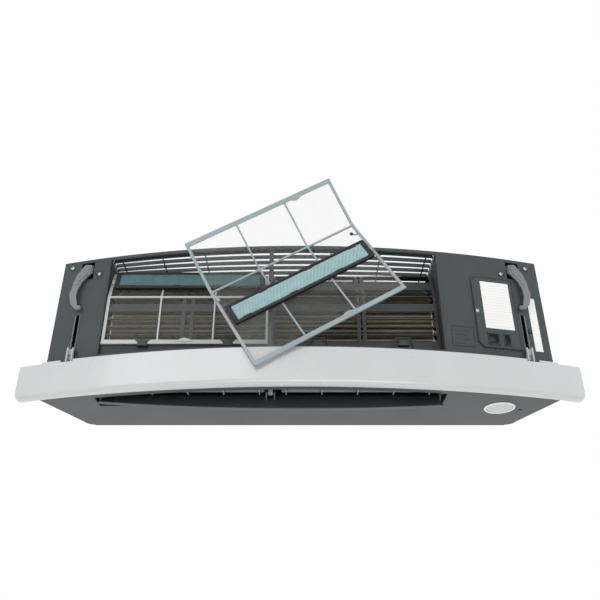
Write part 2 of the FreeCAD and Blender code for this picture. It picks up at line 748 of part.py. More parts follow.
def panel_arms():
    """Levers and hooks that carried the front panel, with the geared motors that swing them."""
    outline = [(410, 128), (422, 128), (424, 114), (437, 92), (440, 62), (436, 40), (428, 31),
               (419, 31), (419, 37), (427, 42), (430, 62), (427, 88), (412, 106)]
    motors = new_body("arm_motors")
    for side, sign in ARM_SIDES.items():
        mirror = -1 if sign == "-" else 1
        hub_x = "408" if mirror == 1 else "-424"
        arm = new_body(f"panel_arm_{side}")
        lever = sketch_on(arm, "XZ_Plane", "155.5")
        draw_loop(lever, [(f"{mirror * x}", f"{z}") for x, z in outline])
        pad(arm, lever, "6")
        hub = sketch_on(arm, "YZ_Plane", hub_x)
        draw_loop(hub, [("-156", "112"), ("-150", "116"), ("6.5 - arm_pivot_depth", "arm_pivot_rise",
                         "6.6", 1), ("-6.5 - arm_pivot_depth", "arm_pivot_rise"), ("-156", "127")])
        draw_circle(hub, "-arm_pivot_depth", "arm_pivot_rise", "3 + run_fit")
        pad(arm, hub, "16")
        body_x = "388" if mirror == 1 else "-406"
        shaft_x = "406" if mirror == 1 else "-425"
        case = sketch_on(motors, "YZ_Plane", body_x)
        draw_box(case, "-153", "-128", "114", "138")
        pad(motors, case, "18")
        shaft = sketch_on(motors, "YZ_Plane", shaft_x)
        draw_circle(shaft, "-arm_pivot_depth", "arm_pivot_rise", "3")
        pad(motors, shaft, "19")
        hook = new_body(f"panel_hook_{side}")
        middle = f"({sign}arm_x)"
        for y, length, boxes in (
            ("145", "2.5", [("6.5", "-76", "-50")]),
            ("146", "10", [("2.8", "-74", "-52")]),
            ("155.2", "3.5", [("6", "-62", "-52")]),
        ):
            slab = sketch_on(hook, "XZ_Plane", y)
            for half, low, high in boxes:
                draw_box(slab, f"{middle} - {half}", f"{middle} + {half}", low, high)
            pad(hook, slab, length)
        for offset in ("-6", "3.4"):
            prong = sketch_on(hook, "XZ_Plane", "155.2")
            draw_box(prong, f"{middle} + {offset}", f"{middle} + {offset} + 2.6", "-81", "-50")
            pad(hook, prong, "10")


def electrics():
    box = block("control_box", "300", "412", "-147", "-124", "-55", "105")
    cavity = sketch_on(box, "XZ_Plane", "126")
    draw_box(cavity, "302", "410", "-53", "103")
    pocket(box, cavity, "30")
    board = block("circuit_board", "306", "407", "-130", "-128.4", "-45", "98")
    for x, z, radius, height in (("325", "70", "8", "14"), ("345", "70", "5", "11"),
                                 ("400", "20", "4", "9")):
        can = sketch_on(board, "XZ_Plane", "130")
        draw_circle(can, x, z, radius)
        pad(board, can, height)
    chips = sketch_on(board, "XZ_Plane", "130")
    draw_box(chips, "350", "390", "30", "55")
    draw_box(chips, "312", "340", "-20", "20")
    pad(board, chips, "5")
    terminals = block("terminal_block", "345", "405", "-143", "-130", "-44", "-22")
    wells = sketch_on(terminals, "XZ_Plane", "138")
    for index in range(5):
        draw_circle(wells, f"{351 + 12 * index}", "-33", "3.5")
    pocket(terminals, wells, "8")


def placed_on_front(label, x, z, lift):
    """A body whose own X runs along the casing's front at X, its own -Y pointing out."""
    body = new_body(label, x, f"{front_y(x)} - {lift} / cos({front_turn(x)})", z)
    turn_body(body, Vector(0, 0, 1), front_turn(x))
    return body


def covers_and_labels():
    cover_place = ("369", "37", "0.1")
    cover = placed_on_front("terminal_cover", *cover_place)
    plate = sketch_on(cover, "XZ_Plane")
    draw_loop(plate, [("-43", "-82"), ("-33", "-92"), ("43", "-92"), ("43", "52"),
                      ("36", "59"), ("-30", "59"), ("-43", "46")])
    draw_circle(plate, "-37", "-17", "2.1")
    draw_box(plate, "-24", "-1", "-86", "-62")
    draw_box(plate, "8", "22", "-86", "-62")
    pad(cover, plate, "2")
    info = placed_on_front("info_label", *cover_place)
    sheet_outline = sketch_on(info, "XZ_Plane", "2.05")
    draw_box(sheet_outline, "-25", "33", "-52", "48")
    pad(info, sheet_outline, "0.3")
    side = placed_on_front("side_label", "446", "3", "0.1")
    side_outline = sketch_on(side, "XZ_Plane")
    draw_box(side_outline, "-8", "8", "-55", "58")
    pad(side, side_outline, "0.3")
    screws = new_body("casing_screws")
    for x, z in CASING_SCREWS:
        seat = f"(1.2 - {front_y(x)})"
        head = sketch_on(screws, "XZ_Plane", seat)
        draw_circle(head, x, z, "screw_head")
        pad(screws, head, "2")
        shank = sketch_on(screws, "XZ_Plane", f"{seat} - 12")
        draw_circle(shank, x, z, "screw_shank")
        pad(screws, shank, "12.5")
    cover_screw = placed_on_front("cover_screw", *cover_place)
    head = sketch_on(cover_screw, "XZ_Plane", "2.05")
    draw_circle(head, "-37", "-17", "screw_head")
    pad(cover_screw, head, "1.8")
    shank = sketch_on(cover_screw, "XZ_Plane", "0.2")
    draw_circle(shank, "-37", "-17", "screw_shank")
    pad(cover_screw, shank, "1.9")
    button = new_body("run_button", "0", front_y(BUTTON[0]), BUTTON[1])
    cap = sketch_on(button, "XZ_Plane", "-4")
    draw_circle(cap, BUTTON[0], "0", "button_radius")
    pad(button, cap, "6")


def display():
    floor = "-body_height / 2"
    turned("display_ring", DISPLAY[0], DISPLAY[1], f"{floor} - 2.5", None,
           [("24.2", "0.8"), ("25", "0"), ("27.3", "0"), ("28.5", "1.2"), ("28.5", "2.5"),
            ("24.2", "2.5")])
    turned("display_lens", DISPLAY[0], DISPLAY[1], f"{floor} - 1.6", None,
           [("0", "0"), ("23", "0.4"), ("23.8", "1.2"), ("23.8", "3.6"), ("0", "3.6")])
    block("display_board", "347", "391", "-125", "-81", f"{floor} + 3", f"{floor} + 4.6")
    turned("receiver_window", RECEIVER[0], RECEIVER[1], f"{floor} - 0.8", None,
           [("0", "0"), ("3", "0.3"), ("4", "1"), ("4", "3.6"), ("0", "3.6")])


def filter_in_place():
    """The left filter, curved up and back along its guides, with its cassette."""
    left = size("-bay_left") + 1
    right = left + size("filter_width")
    half = size("frame_thick / 2")
    path = filter_path()
    (plane, low), (_, fold), _, (back, top) = path
    rail_starts = [left, left + 102, left + 205, right - 6]
    pieces = [bent_sheet(path, FILTER_RADII, -half, half, x, x + width)
              for x, width in zip(rail_starts, (6, 3.5, 3.5, 6))]
    for y, z, depth, height in ((plane - half, low, 2 * half, 7),
                                (plane - half, fold - 3, 2 * half, 6),
                                (back - 6, top - half, 6, 2 * half)):
        pieces.append(Part.makeBox(right - left, depth, height, Vector(left, y, z)))
    pieces.append(Part.makeBox(26, 6, 5, Vector(left + 142, plane - half - 4, low + 1)))
    frame = pieces[0].fuse(pieces[1:]).removeSplitter()
    made("filter_frame_left", frame)
    made("filter_mesh_left", bent_sheet(path, FILTER_RADII, -half - 0.7, -half - 0.1,
                                        left + 1, right - 1))
    lean = math.degrees(math.atan2(path[2][0] - plane, path[2][1] - fold))
    cassette("left", left + 155, plane + 10.4, fold + 38, ALONG_X, f"{-lean}", half + 0.1)


def cassette(side, x, y, z, axis, angle, lift):
    """Black holder with its deodorising core, flat on the front of a filter."""
    holder = new_body(f"cassette_{side}", f"{x}", f"{y}", f"{z}")
    turn_body(holder, axis, angle)
    plate = sketch_on(holder, "XZ_Plane", f"{lift}")
    draw_box(plate, "-146", "146", "-22.5", "22.5")
    pad(holder, plate, "7")
    window = sketch_on(holder, "XZ_Plane", f"{lift}")
    draw_box(window, "-137", "137", "-17", "17")
    pocket(holder, window, "7")
    core = new_body(f"cassette_core_{side}", f"{x}", f"{y}", f"{z}")
    turn_body(core, axis, angle)
    block_outline = sketch_on(core, "XZ_Plane", f"{lift} + 0.8")
    draw_box(block_outline, "-136.8", "136.8", "-16.8", "16.8")
    pad(core, block_outline, "5")


def filter_taken_out():
    """The right filter, bent at its fold, leaning across the front on the bar and the top rim."""
    width = size("filter_width")
    half = size("frame_thick / 2")
    bottom, fold, top = (-5, -138), (18, 40), (-20, 136)
    path = [bottom, fold, top]
    tilt = FreeCAD.Rotation(Vector(0, 1, 0), -29.7)
    place = FreeCAD.Placement(Vector(-11, -232.5, 76), tilt)
    pieces = [bent_sheet(path, [40], -half, half, x - width / 2, x - width / 2 + rail)
              for x, rail in ((0, 6), (102, 3.5), (205, 3.5), (width - 6, 6))]
    for (y, z), height in ((bottom, 7), ((fold[0] - 2, fold[1] - 3), 6),
                           ((top[0], top[1] - 7), 7)):
        low = Vector(-width / 2, y - half, z)
        pieces.append(Part.makeBox(width, 2 * half, height, low))
    frame = pieces[0].fuse(pieces[1:]).removeSplitter()
    frame.Placement = place
    made("filter_frame_right", baked(frame))
    net = bent_sheet(path, [40], -half - 0.7, -half - 0.1, 7 - width / 2, width / 2 - 7)
    ends = [Part.makeBox(width, 40, 20, Vector(-width / 2, -20, z)) for z in (-150, 128)]
    net = net.cut(ends)
    net.Placement = place
    made("filter_mesh_right", baked(net))
    way = Vector(0, fold[0] - bottom[0], fold[1] - bottom[1]).normalize()
    middle = place.multVec(Vector(0, *fold) - way * 68)
    lean = FreeCAD.Rotation(ALONG_X, -math.degrees(math.atan2(way.y, way.z)))
    turn = tilt * lean
    cassette("right", *middle, turn.Axis, f"{math.degrees(turn.Angle)}", half + 0.1)


# ---------------------------------------------------------------- build, check and write
for build in (wall_plate, rear_casing, front_casing, top_grille, intake_lattice, drain_pan,
              front_bar, coil, pipes, fan, louver, vanes, panel_arms, electrics,
              covers_and_labels, display, filter_in_place, filter_taken_out):
    build()
doc.recompute()

for item in doc.Objects:
    if "Invalid" in item.State or "Error" in item.State:
        raise RuntimeError(f"{item.Name}: {item.State}")
    if item.TypeId == "PartDesign::Pocket":
        removed = item.BaseFeature.Shape.Volume - item.Shape.Volume
        if removed < 1:
            raise RuntimeError(f"{item.Name} removes nothing")

os.makedirs("parts", exist_ok=True)
for item in parts:
    shape = item.Shape
    if shape.isNull() or not shape.isValid() or not shape.Solids:
        raise RuntimeError(f"{item.Label} has no valid solid")
    shape.exportStep(f"parts/{item.Label}.step")
    print(f"{item.Label}: {len(shape.Solids)} solid, {shape.Volume / 1000:.1f} cm3")
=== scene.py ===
import json
import math

import bmesh
import bpy
from mathutils import Matrix, Vector


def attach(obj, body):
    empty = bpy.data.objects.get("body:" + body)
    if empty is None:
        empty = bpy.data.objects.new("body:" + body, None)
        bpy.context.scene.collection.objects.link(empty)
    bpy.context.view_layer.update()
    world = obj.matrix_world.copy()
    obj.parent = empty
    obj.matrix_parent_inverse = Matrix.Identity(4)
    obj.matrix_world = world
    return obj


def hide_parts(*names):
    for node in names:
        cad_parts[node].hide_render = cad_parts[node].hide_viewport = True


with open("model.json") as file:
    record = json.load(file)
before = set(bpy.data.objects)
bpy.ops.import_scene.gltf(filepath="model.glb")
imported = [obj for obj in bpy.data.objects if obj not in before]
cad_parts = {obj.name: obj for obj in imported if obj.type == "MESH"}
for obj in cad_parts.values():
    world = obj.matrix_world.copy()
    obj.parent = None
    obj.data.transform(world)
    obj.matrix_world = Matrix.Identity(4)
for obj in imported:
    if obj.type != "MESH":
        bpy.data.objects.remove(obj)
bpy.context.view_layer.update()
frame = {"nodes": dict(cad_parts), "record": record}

# Indoor unit of a wall-mounted split air conditioner with its front panel off.
# Frame as in the CAD: metres, origin at the middle of the wall plate's wall face,
# +X to the unit's right as seen from the room, +Y into the wall, +Z up.

nodes = frame["nodes"]
ALONG_X = Vector((1, 0, 0))
ALONG_Z = Vector((0, 0, 1))

# Local X across, local Y up and local Z out to the room.
ROOM = Matrix(((1, 0, 0, 0), (0, 0, -1, 0), (0, 1, 0, 0), (0, 0, 0, 1)))
# Outlines drawn in the unit's Y and Z, and carried along its X.
PROFILE = Matrix(((0, 0, 1, 0), (1, 0, 0, 0), (0, 1, 0, 0), (0, 0, 0, 1)))

# ---------------------------------------------------------------- sizes shared with the CAD
FRONT_RADIUS = 1.7065          # plan radius of the casing's bulging front
CENTRE_DEPTH = 0.206           # wall to casing front at the middle
BAY_LEFT = -0.370
BAY_RIGHT = 0.262
FLOOR_Z = -0.145               # underside of the casing
FILTER_PLANE = -0.160          # Y of a filter's flat front row
FILTER_LOW = -0.043
FILTER_FOLD = 0.057
FILTER_HALF = 0.0015           # half thickness of a filter's frame
ARM_X = 0.422


def front_y(x, inset=0.0):
    """Y of the casing's front arc at x, moved inwards by an inset."""
    return FRONT_RADIUS - CENTRE_DEPTH - math.sqrt((FRONT_RADIUS - inset) ** 2 - x * x)


def front_turn(x):
    """Plan angle of the casing's front at x."""
    return math.asin(x / FRONT_RADIUS)


# ---------------------------------------------------------------- materials
def srgb(red, green, blue):
    """Linear colour of an 8-bit display colour."""
    def linear(value):
        share = value / 255
        return share / 12.92 if share <= 0.04045 else ((share + 0.055) / 1.055) ** 2.4
    return (linear(red), linear(green), linear(blue), 1.0)


def add_node(tree, kind, **settings):
    item = tree.nodes.new(kind)
    for key, value in settings.items():
        if hasattr(item, key):
            setattr(item, key, value)
        else:
            item.inputs[key.replace("_", " ").title()].default_value = value
    return item


def noise(tree, place, scale, detail=2.0):
    """Soft noise over the surface; scale is in waves per metre."""
    item = add_node(tree, "ShaderNodeTexNoise")
    item.inputs["Scale"].default_value = scale
    item.inputs["Detail"].default_value = detail
    tree.links.new(place, item.inputs["Vector"])
    return item.outputs["Fac"]


def spread(tree, value, low, high, start=0.3, end=0.7):
    """The value's middle range stretched to run from low to high."""
    item = add_node(tree, "ShaderNodeMapRange")
    item.inputs["From Min"].default_value = start
    item.inputs["From Max"].default_value = end
    item.inputs["To Min"].default_value = low
    item.inputs["To Max"].default_value = high
    tree.links.new(value, item.inputs["Value"])
    return item.outputs["Result"]


def blend_colours(tree, share, first, second):
    item = add_node(tree, "ShaderNodeMix", data_type="RGBA")
    for socket, colour in ((6, first), (7, second)):
        if isinstance(colour, tuple):
            item.inputs[socket].default_value = colour
        else:
            tree.links.new(colour, item.inputs[socket])
    tree.links.new(share, item.inputs[0])
    return item.outputs[2]


def finish_of(name, first, second, rough, drift=9.0, grain=900.0, depth=0.00006, metal=0.0,
              stretch=(1, 1, 1), coat=0.0, extra=None):
    """A surface whose colour drifts between two tones, with its own roughness and fine grain."""
    mat = bpy.data.materials.new(name)
    mat.use_nodes = True
    tree = mat.node_tree
    shader = tree.nodes["Principled BSDF"]
    place = add_node(tree, "ShaderNodeTexCoord").outputs["Object"]
    mapped = add_node(tree, "ShaderNodeMapping")
    mapped.inputs["Scale"].default_value = stretch
    tree.links.new(place, mapped.inputs["Vector"])
    place = mapped.outputs["Vector"]
    tone = spread(tree, noise(tree, place, drift, 4.0), 0.0, 1.0)
    colour = blend_colours(tree, tone, first, second)
    if extra is not None:
        colour = extra(tree, place, colour)
    tree.links.new(colour, shader.inputs["Base Color"])
    fine = noise(tree, place, grain, 3.0)
    tree.links.new(spread(tree, fine, rough[0], rough[1]), shader.inputs["Roughness"])
    bump = add_node(tree, "ShaderNodeBump")
    bump.inputs["Strength"].default_value = 0.6
    bump.inputs["Distance"].default_value = depth
    tree.links.new(fine, bump.inputs["Height"])
    tree.links.new(bump.outputs["Normal"], shader.inputs["Normal"])
    shader.inputs["Metallic"].default_value = metal
    shader.inputs["Coat Weight"].default_value = coat
    return mat


def stripes(direction, pitch, low, high, colour):
    """Adds ruled lines across one axis, between two shares of each pitch."""
    def paint(tree, place, base):
        split = add_node(tree, "ShaderNodeSeparateXYZ")
        tree.links.new(place, split.inputs["Vector"])
        scaled = add_node(tree, "ShaderNodeMath", operation="DIVIDE")
        scaled.inputs[1].default_value = pitch
        tree.links.new(split.outputs[direction], scaled.inputs[0])
        part = add_node(tree, "ShaderNodeMath", operation="FRACT")
        tree.links.new(scaled.outputs[0], part.inputs[0])
        over = add_node(tree, "ShaderNodeMath", operation="GREATER_THAN")
        over.inputs[1].default_value = low
        under = add_node(tree, "ShaderNodeMath", operation="LESS_THAN")
        under.inputs[1].default_value = high
        both = add_node(tree, "ShaderNodeMath", operation="MULTIPLY")
        tree.links.new(part.outputs[0], over.inputs[0])
        tree.links.new(part.outputs[0], under.inputs[0])
        tree.links.new(over.outputs[0], both.inputs[0])
        tree.links.new(under.outputs[0], both.inputs[1])
        return blend_colours(tree, both.outputs[0], base, colour)
    return paint


MATERIALS = {
    "casing": finish_of("casing", srgb(49, 59, 62), srgb(57, 67, 70), (0.36, 0.48)),
    "inner_casing": finish_of("inner_casing", srgb(44, 49, 50), srgb(54, 58, 59), (0.42, 0.55)),
    "trim_bar": finish_of("trim_bar", srgb(196, 201, 201), srgb(202, 206, 206), (0.24, 0.32),
                          grain=2500.0, depth=0.00001, metal=0.35, coat=0.7),
    "fins": finish_of("fins", srgb(128, 122, 102), srgb(150, 143, 120), (0.35, 0.5), metal=0.6,
                      drift=30.0),
    "galvanised": finish_of("galvanised", srgb(160, 165, 166), srgb(190, 194, 194), (0.3, 0.5),
                            metal=0.9, drift=60.0, grain=300.0),
    "copper": finish_of("copper", srgb(186, 112, 76), srgb(150, 84, 58), (0.25, 0.4), metal=1.0,
                        drift=40.0),
    "fan_plastic": finish_of("fan_plastic", srgb(34, 37, 38), srgb(42, 45, 46), (0.4, 0.55)),
    "steel": finish_of("steel", srgb(150, 152, 155), srgb(170, 172, 174), (0.2, 0.3), metal=1.0,
                       stretch=(0.1, 1, 1)),
    "rubber": finish_of("rubber", srgb(28, 28, 29), srgb(38, 38, 39), (0.7, 0.85)),
    "motor_case": finish_of("motor_case", srgb(196, 198, 196), srgb(180, 183, 182), (0.4, 0.5)),
    "louver": finish_of("louver", srgb(84, 97, 106), srgb(94, 108, 117), (0.3, 0.42)),
    "light_plastic": finish_of("light_plastic", srgb(176, 180, 180), srgb(188, 191, 190),
                               (0.38, 0.5)),
    "arm_plastic": finish_of("arm_plastic", srgb(112, 119, 119), srgb(126, 132, 131),
                             (0.36, 0.5)),
    "board": finish_of("board", srgb(36, 84, 52), srgb(46, 98, 62), (0.35, 0.5), drift=80.0),
    "terminal": finish_of("terminal", srgb(214, 208, 190), srgb(200, 194, 176), (0.45, 0.55)),
    "label": finish_of("label", srgb(238, 238, 236), srgb(244, 244, 243), (0.5, 0.62),
                       grain=3000.0, depth=0.00001,
                       extra=stripes("Z", 0.0062, 0.46, 0.54, srgb(214, 215, 216))),
    "screw": finish_of("screw", srgb(206, 207, 204), srgb(222, 222, 219), (0.18, 0.3), metal=1.0,
                       grain=1500.0),
    "ring": finish_of("ring", srgb(226, 228, 224), srgb(234, 235, 232), (0.25, 0.35), coat=0.3),
    "lens": finish_of("lens", srgb(176, 190, 186), srgb(188, 200, 196), (0.18, 0.26), coat=0.4),
    "filter_frame": finish_of("filter_frame", srgb(186, 190, 188), srgb(200, 202, 199),
                              (0.4, 0.52)),
    "loose_frame": finish_of("loose_frame", srgb(146, 160, 164), srgb(160, 173, 176),
                             (0.38, 0.5)),
    "filter_mesh": finish_of("filter_mesh", srgb(176, 178, 172), srgb(190, 191, 184), (0.6, 0.7)),
    "cassette": finish_of("cassette", srgb(14, 15, 16), srgb(20, 21, 22), (0.38, 0.5)),
    "core": finish_of("core", srgb(180, 210, 216), srgb(192, 220, 225), (0.6, 0.8), drift=60.0),
    # Darker copy of the core's teal: painted shade for the left cassette's core
    "painted_shade_core": finish_of("painted_shade_core", srgb(96, 132, 138), srgb(108, 144, 149), (0.7, 0.85),
                            drift=60.0),
}


# ---------------------------------------------------------------- stage, light and camera
def build_stage():
    world = bpy.data.worlds.new("studio")
    bpy.context.scene.world = world
    world.use_nodes = True
    back = world.node_tree.nodes["Background"]
    back.inputs["Color"].default_value = (1, 1, 1, 1)
    back.inputs["Strength"].default_value = 1.0
    bpy.ops.mesh.primitive_grid_add(x_subdivisions=8, y_subdivisions=8, size=14,
                                    location=(0, 0, -2.0))
    floor = bpy.context.object
    floor.name = "studio_floor"
    floor.data.materials.append(finish_of("floor", srgb(240, 240, 238), srgb(244, 244, 243),
                                          (0.7, 0.8), drift=0.6, grain=60.0))
    for name, place, aim, size, power in (
        ("key", (-1.1, -2.2, 1.0), (0, -0.15, 0), 1.6, 4),
        ("low", (0.2, -1.5, -1.7), (0, -0.2, -0.1), 1.4, 6),
    ):
        lamp = bpy.data.lights.new(name, "AREA")
        lamp.shape = "SQUARE"
        lamp.size = size
        lamp.energy = power
        holder = bpy.data.objects.new(name, lamp)
        bpy.context.scene.collection.objects.link(holder)
        holder.location = place
        way = Vector(aim) - Vector(place)
        holder.rotation_euler = way.to_track_quat("-Z", "Y").to_euler()


CAMERA_PLACE = (0, -1.316, -0.590)
CAMERA_RISE = 29               # degrees above the horizontal
LENS_MM = 41.4
SENSOR_MM = 36


def build_camera():
    lens = bpy.data.cameras.new("camera")
    lens.lens = LENS_MM
    lens.sensor_width = SENSOR_MM
    camera = bpy.data.objects.new("camera", lens)
    bpy.context.scene.collection.objects.link(camera)
    camera.location = CAMERA_PLACE
    camera.rotation_euler = (math.radians(90 + CAMERA_RISE), 0, 0)
    bpy.context.scene.camera = camera
    bpy.context.scene.view_settings.view_transform = "Standard"


# ---------------------------------------------------------------- CAD nodes that stay
SLOT_OF = {item["node"]: item["material_slot"] for item in frame["record"]["subparts"]}
SOFTENED = {"front_casing": 0.0007, "louver": 0.0006, "terminal_cover": 0.0005,
            "top_grille": 0.0003, "intake_lattice": 0.0004, "rear_casing": 0.0005,
            "display_ring": 0.0004, "louver_bracket": 0.0005, "arm_motors": 0.0008,
            "terminal_block": 0.0005, "control_box": 0.0005}


def soften(obj, width):
    """Rounds a moulded part's sharp edges and evens out its shading."""
    if "custom_normal" in obj.data.attributes:
        obj.data.attributes.remove(obj.data.attributes["custom_normal"])
    obj.data.polygons.foreach_set("use_smooth", [True] * len(obj.data.polygons))
    weld = obj.modifiers.new("weld", "WELD")
    weld.merge_threshold = 0.00001
    plain = obj.modifiers.new("plain", "DECIMATE")
    plain.decimate_type = "DISSOLVE"
    plain.angle_limit = math.radians(0.2)
    bevel = obj.modifiers.new("bevel", "BEVEL")
    bevel.width = width
    bevel.segments = 2
    bevel.limit_method = "ANGLE"
    bevel.angle_limit = math.radians(35)
    bevel.use_clamp_overlap = False
    even = obj.modifiers.new("even", "WEIGHTED_NORMAL")
    even.keep_sharp = True


def paint_cad_nodes():
    for name, obj in nodes.items():
        mat = MATERIALS[SLOT_OF[name]]
        if obj.material_slots:
            for slot in obj.material_slots:
                slot.material = mat
        else:
            obj.data.materials.append(mat)
    for name, width in SOFTENED.items():
        soften(nodes[name], width)


# ---------------------------------------------------------------- mesh tools
class Shape:
    """Solids gathered in one mesh, which then becomes a piece that rides on a body."""

    def __init__(self):
        self.mesh = bmesh.new()

    def skin(self, rings, closed=True):
        """A solid over rings of points; closed caps its two ends."""
        rows = [[self.mesh.verts.new(point) for point in ring] for ring in rings]
        count = len(rows[0])
        for row, following in zip(rows, rows[1:]):
            for index in range(count):
                onward = (index + 1) % count
                self.mesh.faces.new((row[index], row[onward], following[onward], following[index]))
        if closed:
            self.mesh.faces.new(rows[0][::-1])
            self.mesh.faces.new(rows[-1])

    def prism(self, outline, low, high, place=Matrix()):
        """A solid between two heights of local Z over an outline of (x, y) points."""
        self.skin([[place @ Vector((x, y, z)) for x, y in outline] for z in (low, high)])

    def box(self, low, high, place=Matrix()):
        corners = [(low[0], low[1]), (high[0], low[1]), (high[0], high[1]), (low[0], high[1])]
        self.prism(corners, low[2], high[2], place)

    def turned(self, profile, place=Matrix(), steps=40):
        """A solid of revolution about local Z, from (radius, height) pairs."""
        rings = []
        for radius, height in profile:
            ring = []
            for step in range(steps):
                angle = math.tau * step / steps
                spot = Vector((radius * math.cos(angle), radius * math.sin(angle), height))
                ring.append(place @ spot)
            rings.append(ring)
        self.skin(rings)

    def tube(self, points, radius, steps=12):
        """A round bar along points."""
        rings = []
        points = [Vector(point) for point in points]
        for index, point in enumerate(points):
            before = points[max(index - 1, 0)]
            after = points[min(index + 1, len(points) - 1)]
            turn = (after - before).to_track_quat("Z", "Y").to_matrix().to_4x4()
            place = Matrix.Translation(point) @ turn
            ring = []
            for step in range(steps):
                angle = math.tau * step / steps
                ring.append(place @ Vector((radius * math.cos(angle), radius * math.sin(angle), 0)))
            rings.append(ring)
        self.skin(rings)

    def become(self, name, body, slot, bevel=0.0, replaced=(), smooth=35, finish=None):
        bmesh.ops.remove_doubles(self.mesh, verts=self.mesh.verts, dist=1e-7)
        bmesh.ops.recalc_face_normals(self.mesh, faces=self.mesh.faces)
        data = bpy.data.meshes.new(name)
        self.mesh.to_mesh(data)
        self.mesh.free()
        data.polygons.foreach_set("use_smooth", [True] * len(data.polygons))
        data.set_sharp_from_angle(angle=math.radians(smooth))
        data.materials.append(MATERIALS[finish or slot])
        piece = bpy.data.objects.new(name, data)
        bpy.context.scene.collection.objects.link(piece)
        if bevel:
            rounding = piece.modifiers.new("bevel", "BEVEL")
            rounding.width = bevel
            rounding.segments = 2
            rounding.limit_method = "ANGLE"
            rounding.angle_limit = math.radians(smooth)
            rounding.use_clamp_overlap = True
            piece.modifiers.new("even", "WEIGHTED_NORMAL").keep_sharp = True
        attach(piece, body)
        if replaced:
            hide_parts(*replaced)
        return piece


def rounded_outline(points, radius, steps=5):
    """The outline's corners rounded by arcs of one radius."""
    corners = [Vector(point).to_2d() for point in points]
    outline = []
    for index, corner in enumerate(corners):
        inward = (corners[index - 1] - corner).normalized()
        onward = (corners[(index + 1) % len(corners)] - corner).normalized()
        half = math.acos(max(-1, min(1, inward.dot(onward)))) / 2
        if half > math.radians(85):
            outline.append(tuple(corner))
            continue
        near = min(radius / math.tan(half), (corners[index - 1] - corner).length * 0.45,
                   (corners[(index + 1) % len(corners)] - corner).length * 0.45)
        start = corner + inward * near
        end = corner + onward * near
        for step in range(steps + 1):
            share = step / steps
            outline.append(tuple(start * (1 - share) ** 2 + corner * (2 * share * (1 - share))
                                 + end * share ** 2))
    return outline


def front_place(x, z, lift=0.0):
    """Local X along the casing's front, local Y up, local Z out of the casing towards the room."""
    turn = front_turn(x)
    along = Vector((math.cos(turn), math.sin(turn), 0))
    out = Vector((math.sin(turn), -math.cos(turn), 0))
    origin = Vector((x, front_y(x), z)) + out * lift
    rows = [along, ALONG_Z, out]
    turn_matrix = Matrix([[row[i] for row in rows] for i in range(3)]).to_4x4()
    return Matrix.Translation(origin) @ turn_matrix


# ---------------------------------------------------------------- filters
def path_stations(points, radii, steps=8):
    """Points and unit directions along a path of straight runs and tangent arcs."""
    points = [Vector(point) for point in points]
    stations = [(points[0], (points[1] - points[0]).normalized())]
    for before, corner, after, radius in zip(points, points[1:], points[2:], radii):
        inward = (before - corner).normalized()
        onward = (after - corner).normalized()
        half = inward.angle(onward) / 2
        reach = radius / math.tan(half)
        centre = corner + (inward + onward).normalized() * (radius / math.sin(half))
        start = corner + inward * reach - centre
        end = corner + onward * reach - centre
        sweep = start.angle(end)
        for step in range(steps + 1):
            share = step / steps
            arm = (start * math.sin((1 - share) * sweep) + end * math.sin(share * sweep))
            arm /= math.sin(sweep)
            way = (-inward).slerp(onward, share)
            stations.append((centre + arm, way.normalized()))
    stations.append((points[-1], (points[-1] - points[-2]).normalized()))
    return stations


class Filter:
    """A filter frame on a bent path: u runs across it, s along it, n out to the room."""

    def __init__(self, path, radii, left, place):
        self.stations = path_stations([(0, y, z) for y, z in path], radii)
        self.left = left
        self.place = place
        self.lengths = [0.0]
        for (before, _), (after, _) in zip(self.stations, self.stations[1:]):
            self.lengths.append(self.lengths[-1] + (after - before).length)
        self.length = self.lengths[-1]

    def spot(self, u, s, n):
        s = max(0.0, min(self.length, s))
        index = next(i for i in range(len(self.lengths) - 1) if s <= self.lengths[i + 1] + 1e-9)
        span = self.lengths[index + 1] - self.lengths[index]
        share = (s - self.lengths[index]) / span
        (before, first), (after, second) = self.stations[index], self.stations[index + 1]
        way = first.lerp(second, share).normalized()
        out = Vector((0, -way.z, way.y))
        return self.place @ (before.lerp(after, share) + out * n + ALONG_X * (self.left + u))

    def bar_along(self, shape, u, width, half, start=0.0, end=None, n=0.0):
        """A rail from one end of the path to the other, or between two lengths."""
        end = self.length if end is None else end
        cuts = [start] + [s for s in self.lengths if start + 1e-4 < s < end - 1e-4] + [end]
        rings = []
        for s in cuts:
            rings.append([self.spot(u, s, n - half), self.spot(u + width, s, n - half),
                          self.spot(u + width, s, n + half), self.spot(u, s, n + half)])
        shape.skin(rings)

    def bar_across(self, shape, outline, low, high):
        """A solid over an outline of (u, s) points, from one height out of the path to another."""
        shape.skin([[self.spot(u, s, n) for u, s in outline] for n in (low, high)])


FILTER_WIDTH = 0.310
RAILS = ((0.0, 0.0055), (0.102, 0.0032), (0.205, 0.0032), (0.3045, 0.0055))
FOLD = 0.100                   # along the path, from the lower edge of a seated filter
NET_PITCH = 0.0021
NET_THREAD = 0.00005           # half thickness of a net's thread
NET_MARGIN = 0.002             # from the frame's outer edge to the net's
NET_GAP = 0.0004               # from the frame's back to the net
FOLD_BAR_HALF = 0.0018
NOTCH_TAPER = 0.006
GUSSET = 0.0052                # reach of the lozenge where a rail meets the fold bar
BULGE_HALF = 0.017
END_BAR = 0.0085               # width of a frame's end bars
CATCHES = (0.0775, 0.2355)     # middles of the catches across a filter
CATCH_HALF = 0.009
BULGE_STEPS = 12


